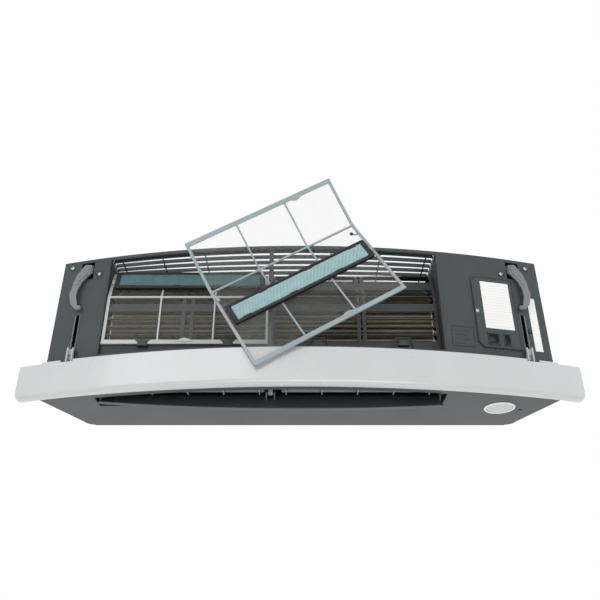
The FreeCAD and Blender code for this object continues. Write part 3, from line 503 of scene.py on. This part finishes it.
def filter_frame(sheet, fold, handle_end, bulge_middle, far_middle, notched):
    """Moulded frame: rails, fold bar, end bars and their bulges. Its handle end may be notched."""
    shape = Shape()
    half = FILTER_HALF
    for u, width in RAILS:
        sheet.bar_along(shape, u, width, half)
    side = 1 if handle_end == 0 else -1

    def from_handle(points, low, high):
        sheet.bar_across(shape, [(u, handle_end + side * s) for u, s in points], low, high)

    def bulge(middle, base, rise, turn):
        points = []
        for step in range(BULGE_STEPS + 1):
            share = step / BULGE_STEPS
            lift = rise * (0.5 - 0.5 * math.cos(math.tau * share))
            points.append((middle + (share - 0.5) * 2 * BULGE_HALF,
                           base + turn * (lift - 0.0015)))
        points += [(middle + BULGE_HALF, base - turn * 0.004),
                   (middle - BULGE_HALF, base - turn * 0.004)]
        from_handle(points, -half, half + 0.0020)

    edges = [0.0, FILTER_WIDTH]
    if notched:
        edges = [0.0]
        for catch in CATCHES:
            edges += [catch - CATCH_HALF, catch + CATCH_HALF]
        edges.append(FILTER_WIDTH)
    for start, end in zip(edges[::2], edges[1::2]):
        from_handle([(start, 0), (end, 0), (end, 0.0025), (start, 0.0025)], -half, half + 0.0006)
        left = NOTCH_TAPER if start > 0 else 0.0
        right = NOTCH_TAPER if end < FILTER_WIDTH else 0.0
        from_handle([(start, 0.0), (end, 0.0), (end, 0.003), (end - right, END_BAR),
                     (start + left, END_BAR), (start, 0.003)], -half, half + 0.0012)
    bulge(bulge_middle, END_BAR, 0.0055, 1)
    far = sheet.length
    from_handle([(0, far - END_BAR), (FILTER_WIDTH, far - END_BAR), (FILTER_WIDTH, far), (0, far)],
                -half, half + 0.0008)
    bulge(far_middle, far - END_BAR, 0.0045, -1)
    low, high = fold - FOLD_BAR_HALF, fold + FOLD_BAR_HALF
    sheet.bar_across(shape, [(0, low), (FILTER_WIDTH, low), (FILTER_WIDTH, high), (0, high)],
                     -half, half + 0.0002)
    for u, width in RAILS:
        middle = u + width / 2
        sheet.bar_across(shape, [(max(middle - GUSSET, 0), fold), (middle, fold - GUSSET),
                                 (min(middle + GUSSET, FILTER_WIDTH), fold),
                                 (middle, fold + GUSSET)], -half * 0.9, half * 0.9)
    return shape


def cassette_clips(shape, sheet, starts):
    """Latches on the two outer rails that hold a cassette's ends."""
    for low, start in zip((0.003, FILTER_WIDTH - 0.0095), starts):
        outline = rounded_outline([(low, start), (low + 0.0065, start),
                                   (low + 0.0065, start + 0.009), (low, start + 0.009)], 0.001)
        sheet.bar_across(shape, outline, 0.0, 0.0066)


def net(name, body, sheet, replaced):
    """Fine woven net behind a filter's frame."""
    shape = Shape()
    level = -FILTER_HALF - NET_GAP
    count = int(FILTER_WIDTH / NET_PITCH)
    for index in range(1, count):
        sheet.bar_along(shape, index * NET_PITCH, 2 * NET_THREAD, NET_THREAD, n=level,
                        start=END_BAR - 0.0003, end=sheet.length - NET_MARGIN)
    for index in range(int(END_BAR / NET_PITCH), int(sheet.length / NET_PITCH)):
        s = index * NET_PITCH
        left, right, top = NET_MARGIN, FILTER_WIDTH - NET_MARGIN, s + 2 * NET_THREAD
        outline = [(left, s), (right, s), (right, top), (left, top)]
        sheet.bar_across(shape, outline, level - NET_THREAD, level + NET_THREAD)
    return shape.become(name, body, "filter_mesh", replaced=replaced)


HOLDER_HALF = (0.146, 0.0225)   # half width and height of a cassette
WINDOW_HALF = (0.137, 0.0170)
HOLDER_DEPTH = 0.0070
CELL = 0.0030                  # across the flats of a honeycomb cell
CELL_WALL = 0.00048


def cassette_place(point, tilt, lean):
    """Local X across the filter, local Y up along it, local Z out to the room."""
    upright = Matrix.Rotation(math.radians(90), 4, "X")
    turned = Matrix.Rotation(tilt, 4, "Y") @ Matrix.Rotation(lean, 4, "X")
    return Matrix.Translation(point) @ turned @ upright


def cassette(side, place):
    """Black holder with notched lips and latch ends, and its honeycomb core."""
    lift = FILTER_HALF + 0.0001
    deep = HOLDER_DEPTH
    body = f"{side}_filter"
    holder = Shape()
    width, height = HOLDER_HALF
    inner_width, inner_height = WINDOW_HALF
    rim = [(-width, -height), (width, -height), (width, height), (-width, height)]
    rim = rounded_outline(rim, 0.003)
    hole = []
    count = len(rim)
    for x, y in rim:
        hole.append((max(-inner_width, min(inner_width, x)),
                     max(-inner_height, min(inner_height, y))))
    rows = []
    for level, outline in ((lift, rim), (lift + deep - 0.0012, rim),
                           (lift + deep, [(x * 0.995, y * 0.96) for x, y in rim]),
                           (lift + deep - 0.0004, [(x * 1.006, y * 1.06) for x, y in hole]),
                           (lift + deep - 0.0022, hole), (lift, hole)):
        rows.append([holder.mesh.verts.new(place @ Vector((x, y, level))) for x, y in outline])
    for row, following in zip(rows, rows[1:] + rows[:1]):
        for index in range(count):
            onward = (index + 1) % count
            corners = {row[index], row[onward], following[onward], following[index]}
            if len(corners) == 4:
                holder.mesh.faces.new((row[index], row[onward], following[onward],
                                       following[index]))
    for x in (-0.095, 0.0, 0.095):
        for edge in (-1, 1):
            shift = 0.024 * edge
            low = inner_height * edge - 0.0022
            holder.box((x + shift - 0.008, low, lift + 0.0030),
                       (x + shift + 0.008, low + 0.0044, lift + deep - 0.0008), place)
    for end in (-1, 1):
        middle = end * (inner_width + width) / 2
        holder.box((middle - 0.0028, -0.011, lift + deep - 0.0006),
                   (middle + 0.0028, 0.011, lift + deep + 0.0004), place)
        holder.box((middle - 0.0036, -0.0155, lift + deep - 0.0008),
                   (middle + 0.0036, -0.0130, lift + deep + 0.0008), place)
    holder.become(f"cassette_{side}_holder", body, "cassette", bevel=0.0004,
                  replaced=[f"cassette_{side}"])
    comb = Shape()
    outer = CELL / math.sqrt(3)
    inner = outer - CELL_WALL
    top = lift + 0.0058
    bottom = lift + 0.0012
    row_step = CELL * math.sqrt(3) / 2
    rows_count = int(2 * (inner_height - 0.0003) / row_step)
    columns = int(2 * (inner_width - 0.0003) / CELL)
    for row in range(rows_count):
        y = (row - (rows_count - 1) / 2) * row_step
        for column in range(columns):
            x = (column - (columns - 1) / 2 + (0.25 if row % 2 else -0.25)) * CELL
            rings = []
            for level, radius in ((bottom, inner), (top, inner), (top, outer)):
                ring = []
                for corner in range(6):
                    angle = math.radians(30 + 60 * corner)
                    spot = (x + radius * math.cos(angle), y + radius * math.sin(angle), level)
                    ring.append(place @ Vector(spot))
                rings.append(ring)
            comb.skin(rings, closed=False)
    comb.box((-inner_width + 0.0003, -inner_height + 0.0003, lift + 0.0008),
             (inner_width - 0.0003, inner_height - 0.0003, bottom), place)
    # The left core takes the darker copy of the core colour as painted shade
    comb.become(f"cassette_{side}_core", body, "core", replaced=[f"cassette_core_{side}"],
                smooth=20, finish="painted_shade_core" if side == "left" else "core")


def build_filters():
    still = Matrix()
    seated = Filter([(FILTER_PLANE, FILTER_LOW), (FILTER_PLANE, FILTER_FOLD), (-0.137, 0.128),
                     (-0.034, 0.130)], [0.040, 0.030], BAY_LEFT + 0.001, still)
    shape = filter_frame(seated, FOLD, 0.0, 0.155, 0.192, True)
    lean = math.atan2(0.023, 0.071)
    cassette_clips(shape, seated, (FOLD + 0.032, FOLD + 0.032))
    shape.become("filter_left_frame", "left_filter", "filter_frame", bevel=0.0004,
                 replaced=["filter_frame_left"])
    net("filter_left_net", "left_filter", seated, ["filter_mesh_left"])
    middle = Vector((BAY_LEFT + 0.156, FILTER_PLANE + 0.0104, FILTER_FOLD + 0.038))
    cassette("left", cassette_place(middle, 0.0, -lean))

    tilt = math.radians(-29.7)
    centre = Vector((-0.011, -0.2325, 0.076))
    place = Matrix.Translation(centre) @ Matrix.Rotation(tilt, 4, "Y")
    bottom = Vector((0, -0.005, -0.138))
    fold = Vector((0, 0.018, 0.040))
    top = Vector((0, -0.020, 0.136))
    loose = Filter([tuple(bottom)[1:], tuple(fold)[1:], tuple(top)[1:]], [0.040],
                   -FILTER_WIDTH / 2, place)
    way = (fold - bottom).normalized()
    crease = (fold - bottom).length - 0.001
    shape = filter_frame(loose, crease, loose.length, 0.232, 0.192, False)
    cassette_clips(shape, loose, (crease - 0.0265, crease - 0.0745))
    shape.become("filter_right_frame", "right_filter", "filter_frame", bevel=0.0004,
                 replaced=["filter_frame_right"], finish="loose_frame")
    hook = Shape()
    hook_low = crease - 0.024
    hook.tube([loose.spot(0.305, hook_low, 0.001), loose.spot(0.300, hook_low - 0.001, 0.002),
               loose.spot(0.2965, hook_low + 0.001, 0.002),
               loose.spot(0.2955, hook_low + 0.005, 0.002)], 0.0009, 10)
    loose.bar_across(hook, rounded_outline([(0.2905, hook_low + 0.003), (0.2965, hook_low + 0.003),
                                            (0.2965, hook_low + 0.0085),
                                            (0.2905, hook_low + 0.0085)], 0.001), 0.0008, 0.0032)
    hook.become("filter_right_hook", "right_filter", "cassette")
    net("filter_right_net", "right_filter", loose, ["filter_mesh_right"])
    lean = math.atan2(way.y, way.z)
    cassette("right", cassette_place(place @ (fold - way * 0.068), tilt, -lean))


# ---------------------------------------------------------------- coil
FIN_PITCH = 0.0018
FIN_HALF = 0.00009
COIL_LEFT = BAY_LEFT + 0.014
COIL_RIGHT = BAY_RIGHT - 0.012
SLABS = {
    "coil_front": ([(-0.151, -0.072), (-0.131, -0.072), (-0.131, 0.044), (-0.151, 0.044)],
                   [(-0.147, 0.058), (-0.097, 0.112), (-0.0823, 0.0984), (-0.1323, 0.0444)]),
    "coil_rear": ([(-0.066, 0.112), (-0.021, 0.062), (-0.0359, 0.0486), (-0.0809, 0.0986)],),
}
TUBE_ROWS = {
    "coil_front": (((-0.146, -0.060), (-0.146, 0.032), 10), ((-0.136, -0.060), (-0.136, 0.032), 10),
                   ((-0.136, 0.058), (-0.098, 0.099), 6)),
    "coil_rear": (((-0.070, 0.100), (-0.036, 0.062), 6),),
}


def build_coils():
    """Thin fins at an even pitch on straight tubes whose collars show between them."""
    for name, slabs in SLABS.items():
        fins = Shape()
        count = int((COIL_RIGHT - COIL_LEFT) / FIN_PITCH)
        for index in range(count):
            x = COIL_LEFT + FIN_PITCH * (index + 0.5)
            for outline in slabs:
                fins.prism(outline, x - FIN_HALF, x + FIN_HALF, PROFILE)
        fins.become(f"{name}_fins", "unit", "fins", replaced=[name])
        tubes = Shape()
        for start, end, number in TUBE_ROWS[name]:
            for index in range(number):
                share = index / (number - 1)
                y = start[0] + (end[0] - start[0]) * share
                z = start[1] + (end[1] - start[1]) * share
                tubes.tube([(COIL_LEFT - 0.001, y, z), (COIL_RIGHT + 0.001, y, z)], 0.0035, 16)
        tubes.become(f"{name}_tubes", "unit", "fins")


# ---------------------------------------------------------------- screws, arms and small parts
def screw_head(shape, place, radius=0.0038, height=0.0022):
    """Domed head with a cross recess."""
    rings = 9
    steps = 48
    grid = []
    for ring in range(rings + 1):
        reach = radius * ring / rings
        row = []
        for step in range(steps):
            angle = math.tau * step / steps
            x, y = reach * math.cos(angle), reach * math.sin(angle)
            level = height * math.sqrt(max(0.0, 1 - (reach / radius) ** 2 * 0.96))
            slot = min(abs(x), abs(y)) < radius * 0.15 and reach < radius * 0.62
            row.append(place @ Vector((x, y, level - (0.0012 if slot else 0.0))))
        grid.append(row)
    base = []
    for step in range(steps):
        angle = math.tau * step / steps
        base.append(place @ Vector((radius * math.cos(angle), radius * math.sin(angle), -0.0006)))
    shape.skin([base] + grid[:0:-1], closed=True)


CASING_SCREWS = ((-0.451, 0.130), (0.446, 0.128), (-0.392, 0.108), (0.392, 0.108))


def build_screws():
    heads = Shape()
    for x, z in CASING_SCREWS:
        place = front_place(x, z, 0.0012)
        heads.turned([(0.0006, -0.0105), (0.0019, -0.0090), (0.0019, 0.0004)], place, 20)
        screw_head(heads, place)
    heads.become("screws_casing", "unit", "screw", replaced=["casing_screws"], smooth=40)
    cover = Shape()
    place = front_place(0.332, 0.020, 0.0022)
    cover.turned([(0.0006, -0.0018), (0.0019, -0.0012), (0.0019, 0.0004)], place, 20)
    screw_head(cover, place)
    cover.become("screw_cover", "unit", "screw", replaced=["cover_screw"], smooth=40)
    # Seats round the casing screws, in the darker inner casing plastic: painted shade in the recess
    # round each head
    cups = Shape()
    for x, z in CASING_SCREWS:
        cups.turned([(0.0042, -0.0022), (0.0046, 0.0003), (0.0058, 0.0009), (0.0066, 0.0003),
                     (0.0066, -0.0010)], front_place(x, z), 32)
    cups.become("screw_seats", "unit", "inner_casing", smooth=40)


def build_arms():
    """Two-part levers with a stepped web, a foot and a rounded hub."""
    for side, mirror in (("right", 1), ("left", -1)):
        def flip(points, sign=mirror):
            return [(sign * x, z) for x, z in points]
        room = Matrix.Rotation(math.radians(90), 4, "X")
        lever = Shape()
        upper = [(0.409, 0.129), (0.4225, 0.1295), (0.4345, 0.108), (0.4405, 0.088),
                 (0.4405, 0.078),
                 (0.4285, 0.078), (0.4235, 0.092), (0.410, 0.110)]
        lower = [(0.4285, 0.080), (0.4405, 0.080), (0.4435, 0.062), (0.4375, 0.040),
                 (0.4305, 0.034),
                 (0.4255, 0.040), (0.4305, 0.060)]
        foot = [(0.4185, 0.0305), (0.4285, 0.0305), (0.4345, 0.037), (0.4305, 0.043),
                (0.426, 0.0385),
                (0.4185, 0.0375)]
        inset = [(0.4125, 0.124), (0.4185, 0.1245), (0.4205, 0.112), (0.4330, 0.0925),
                 (0.4345, 0.084),
                 (0.4310, 0.084), (0.4275, 0.0935), (0.4155, 0.109)]
        for outline, low, high, radius in ((upper, 0.1555, 0.1606, 0.0012),
                                           (lower, 0.1560, 0.1618, 0.0015),
                                           (foot, 0.1556, 0.1622, 0.001),
                                           (inset, 0.1600, 0.1622, 0.001)):
            lever.prism(rounded_outline(flip(outline), radius), low, high, room)
        start = 0.408 if mirror > 0 else -0.424
        web = [(-0.157, 0.1105), (-0.150, 0.1145), (-0.143, 0.120), (-0.1414, 0.126),
               (-0.143, 0.1315),
               (-0.148, 0.1336), (-0.1535, 0.1315), (-0.157, 0.1275)]
        ring = rounded_outline(web, 0.003)
        bore = []
        for y, z in ring:
            reach = Vector((y + 0.148, z - 0.126)).normalized() * 0.0034
            bore.append((-0.148 + reach.x, 0.126 + reach.y))
        rows = []
        end = start + 0.016
        for outline, x in ((ring, start), (ring, end), (bore, end), (bore, start)):
            rows.append([lever.mesh.verts.new(PROFILE @ Vector((y, z, x))) for y, z in outline])
        for row, following in zip(rows, rows[1:] + rows[:1]):
            for index in range(len(row)):
                onward = (index + 1) % len(row)
                lever.mesh.faces.new((row[index], row[onward], following[onward], following[index]))
        lever.become(f"arm_{side}", f"panel_arm_{side}", "arm_plastic", bevel=0.0005,
                     replaced=[f"panel_arm_{side}"])
        middle = mirror * ARM_X
        hook = Shape()
        hook.box((middle - 0.0065, 0.1450, -0.076), (middle + 0.0065, 0.1475, -0.050),
                 Matrix(((1, 0, 0, 0), (0, -1, 0, 0), (0, 0, 1, 0), (0, 0, 0, 1))))
        hook.prism(rounded_outline([(middle - 0.0028, -0.074), (middle + 0.0028, -0.074),
                                    (middle + 0.0028, -0.052), (middle - 0.0028, -0.052)], 0.001),
                   0.146, 0.156, ROOM)
        hook.prism(rounded_outline([(middle - 0.006, -0.064), (middle + 0.006, -0.064),
                                    (middle + 0.006, -0.052), (middle - 0.006, -0.052)], 0.002),
                   0.1552, 0.1585, ROOM)
        for offset in (-0.0047, 0.0047):
            prong = [(middle + offset - 0.0013, -0.081), (middle + offset + 0.0013, -0.081),
                     (middle + offset + 0.0013, -0.053), (middle + offset, -0.050),
                     (middle + offset - 0.0013, -0.053)]
            hook.prism(prong, 0.1552, 0.1648, ROOM)
        hook.become(f"hook_{side}", f"panel_hook_{side}", "light_plastic", bevel=0.0003,
                    replaced=[f"panel_hook_{side}"])


def frame_around(shape, place, outline, width, low, high):
    """A raised closed band along a rounded outline."""
    middle = Vector((sum(x for x, _ in outline), sum(y for _, y in outline))) / len(outline)
    inner = []
    count = len(outline)
    for index in range(count):
        before = Vector(outline[index - 1])
        here = Vector(outline[index])
        after = Vector(outline[(index + 1) % count])
        way = (after - before).normalized()
        normal = Vector((-way.y, way.x))
        if (middle - here).dot(normal) < 0:
            normal.negate()
        inner.append(tuple(here + normal * width))
    rows = []
    for points, level in ((outline, low), (outline, high), (inner, high), (inner, low)):
        rows.append([shape.mesh.verts.new(place @ Vector((x, y, level))) for x, y in points])
    for row, following in zip(rows, rows[1:] + rows[:1]):
        for index in range(count):
            onward = (index + 1) % count
            shape.mesh.faces.new((row[index], row[onward], following[onward], following[index]))


def build_front_details():
    """Cover rim, finger scoops, blank moulded plate, slot guides and labels."""
    trim = Shape()
    cover = front_place(0.369, 0.037, 0.0021)
    edge = rounded_outline([(-0.0425, -0.0815), (-0.0325, -0.0915), (0.0425, -0.0915),
                            (0.0425, 0.0515), (0.0355, 0.0585), (-0.0425, 0.0585)], 0.006)
    frame_around(trim, cover, edge, 0.0016, 0.0, 0.0010)
    plate = front_place(0.300, -0.036, 0.0)
    blank = rounded_outline([(-0.023, -0.020), (0.021, -0.020),
                             (0.021, 0.021), (-0.023, 0.021)], 0.002)
    frame_around(trim, plate, blank, 0.0009, -0.0004, 0.0007)
    for row in range(4):
        width = (0.030, 0.024, 0.028, 0.018)[row]
        low = 0.011 - 0.0085 * row
        bar = rounded_outline([(-0.017, low), (-0.017 + width, low), (-0.017 + width, low + 0.0022),
                               (-0.017, low + 0.0022)], 0.0009)
        trim.prism(bar, -0.0004, 0.0005, plate)
    trim.become("front_trim", "unit", "casing", bevel=0.0003)
    scoops = Shape()
    for start, end in ((-0.0225, -0.0025), (0.0095, 0.0205)):
        rings = []
        for level, grow, floor in ((-0.0090, 0.0006, 0.0075), (0.0006, 0.0010, 0.0),
                                   (0.0006, 0.0, 0.0), (-0.0080, -0.0012, 0.0085)):
            outline = rounded_outline([(start - grow, -0.0850 - grow + floor),
                                       (end + grow, -0.0850 - grow + floor),
                                       (end + grow, -0.0630 + grow),
                                       (start - grow, -0.0630 + grow)], 0.005)
            rings.append([cover @ Vector((x, y, level)) for x, y in outline])
        scoops.skin(rings)
    scoops.become("cover_scoops", "unit", "casing")
    guides = Shape()
    for sign in (-1, 1):
        for offset, width in ((-0.0050, 0.0012), (0.0038, 0.0018)):
            place = front_place(sign * ARM_X, -0.028, 0.0)
            low, high = sorted((sign * offset, sign * (offset + width)))
            outline = rounded_outline([(low, -0.048), (high, -0.048), (high, 0.048), (low, 0.048)],
                                      0.0005)
            guides.prism(outline, -0.0006, 0.0010, place)
    guides.become("slot_guides", "unit", "arm_plastic", bevel=0.0003)


BAR_RADIUS = 1.6207            # plan radius of the bar's outer face
BAR_CENTRE_DEPTH = 0.229       # wall to its outer face at the middle
BAR_HALF = 0.515
BAR_TOP = -0.079
BAR_ROUND = 0.007              # radius of its lower edge and lower corners
BAR_EASE = 0.0016              # radius of its upper edge
BAR_STEP = 0.471               # from the middle to where the ends step down
HOOK_GAP_HALF = 0.012
BAR_STATIONS = 110


def build_bar():
    """Satin trim bar: one section carried along its bow, stepped at the hooks and the ends."""
    bar = Shape()
    stations = [-BAR_HALF + 0.0001]
    stops = [BAR_STEP, ARM_X + HOOK_GAP_HALF, ARM_X - HOOK_GAP_HALF]
    for step in range(1, BAR_STATIONS):
        stations.append(-BAR_HALF + 2 * BAR_HALF * step / BAR_STATIONS)
    for stop in stops:
        for sign in (-1, 1):
            stations += [sign * stop - 0.00005, sign * stop + 0.00005]
    for share in (0.05, 0.15, 0.3, 0.5, 0.75, 1.0):
        for sign in (-1, 1):
            stations.append(sign * (BAR_HALF - BAR_ROUND * share))
    stations.append(BAR_HALF - 0.0001)
    rings = []
    for x in sorted(stations):
        top = BAR_TOP
        if abs(x) > BAR_STEP:
            top -= 0.003
        elif abs(abs(x) - ARM_X) < HOOK_GAP_HALF:
            top -= 0.004
        near = max(0.0, BAR_ROUND - (BAR_HALF - abs(x)))
        low = FLOOR_Z + BAR_ROUND - math.sqrt(max(0.0, BAR_ROUND ** 2 - near ** 2))
        outer = BAR_RADIUS - BAR_CENTRE_DEPTH - math.sqrt(BAR_RADIUS ** 2 - x * x)
        inner = front_y(x) - 0.0002
        ring = [(inner, low), (inner, top)]
        for step in range(5):
            angle = math.radians(90 * step / 4)
            ring.append((outer + BAR_EASE * (1 - math.sin(angle)),
                         top - BAR_EASE * (1 - math.cos(angle))))
        for step in range(9):
            angle = math.radians(90 * step / 8)
            ring.append((outer + BAR_ROUND * (1 - math.cos(angle)),
                         low + BAR_ROUND * (1 - math.sin(angle))))
        rings.append([Vector((x, y, z)) for y, z in ring])
    bar.skin(rings)
    bar.become("trim_bar", "unit", "trim_bar", replaced=["front_bar"], smooth=40)


def bay_lip():
    """Rounded lip round the intake bay, following the bowed front."""
    lip = Shape()
    for x in (BAY_RIGHT + 0.0022, BAY_LEFT - 0.0022):
        lip.tube([front_place(x, z / 1000, -0.0004).translation for z in (-66, -20, 40, 100, 137)],
                 0.0016, 12)
    steps = 36
    points = []
    for step in range(steps + 1):
        x = BAY_LEFT - 0.002 + (BAY_RIGHT - BAY_LEFT + 0.004) * step / steps
        points.append((x, front_y(x) + 0.0006, 0.1385))
    lip.tube(points, 0.0013, 10)
    lip.become("bay_lip", "unit", "casing")


def build_catches():
    """Moulded catches that hold the lower edge of each filter."""
    catches = Shape()
    for x in (-0.2915, -0.1335, 0.0335, 0.1915):
        outline = rounded_outline([(x - 0.0085, -0.0440), (x + 0.0085, -0.0440),
                                   (x + 0.0070, -0.0350), (x - 0.0070, -0.0350)], 0.002)
        catches.prism(outline, 0.1590, 0.1632, ROOM)
        foot = [(x - 0.0105, -0.0475), (x + 0.0105, -0.0475),
                (x + 0.0105, -0.0438), (x - 0.0105, -0.0438)]
        catches.prism(rounded_outline(foot, 0.001), 0.1570, 0.1655, ROOM)
    for x in (0.0335, 0.1915):
        catches.tube([(x - 0.0175, -0.1590, -0.0480), (x - 0.0165, -0.1590, -0.0360),
                      (x - 0.0135, -0.1590, -0.0305), (x, -0.1590, -0.0298),
                      (x + 0.0135, -0.1590, -0.0305), (x + 0.0165, -0.1590, -0.0360),
                      (x + 0.0175, -0.1590, -0.0480)], 0.0018, 10)
    catches.become("filter_catches", "unit", "casing", bevel=0.0005)


build_stage()
build_camera()
paint_cad_nodes()
build_filters()
build_coils()
build_screws()
build_arms()
build_front_details()
build_bar()
bay_lip()
build_catches()
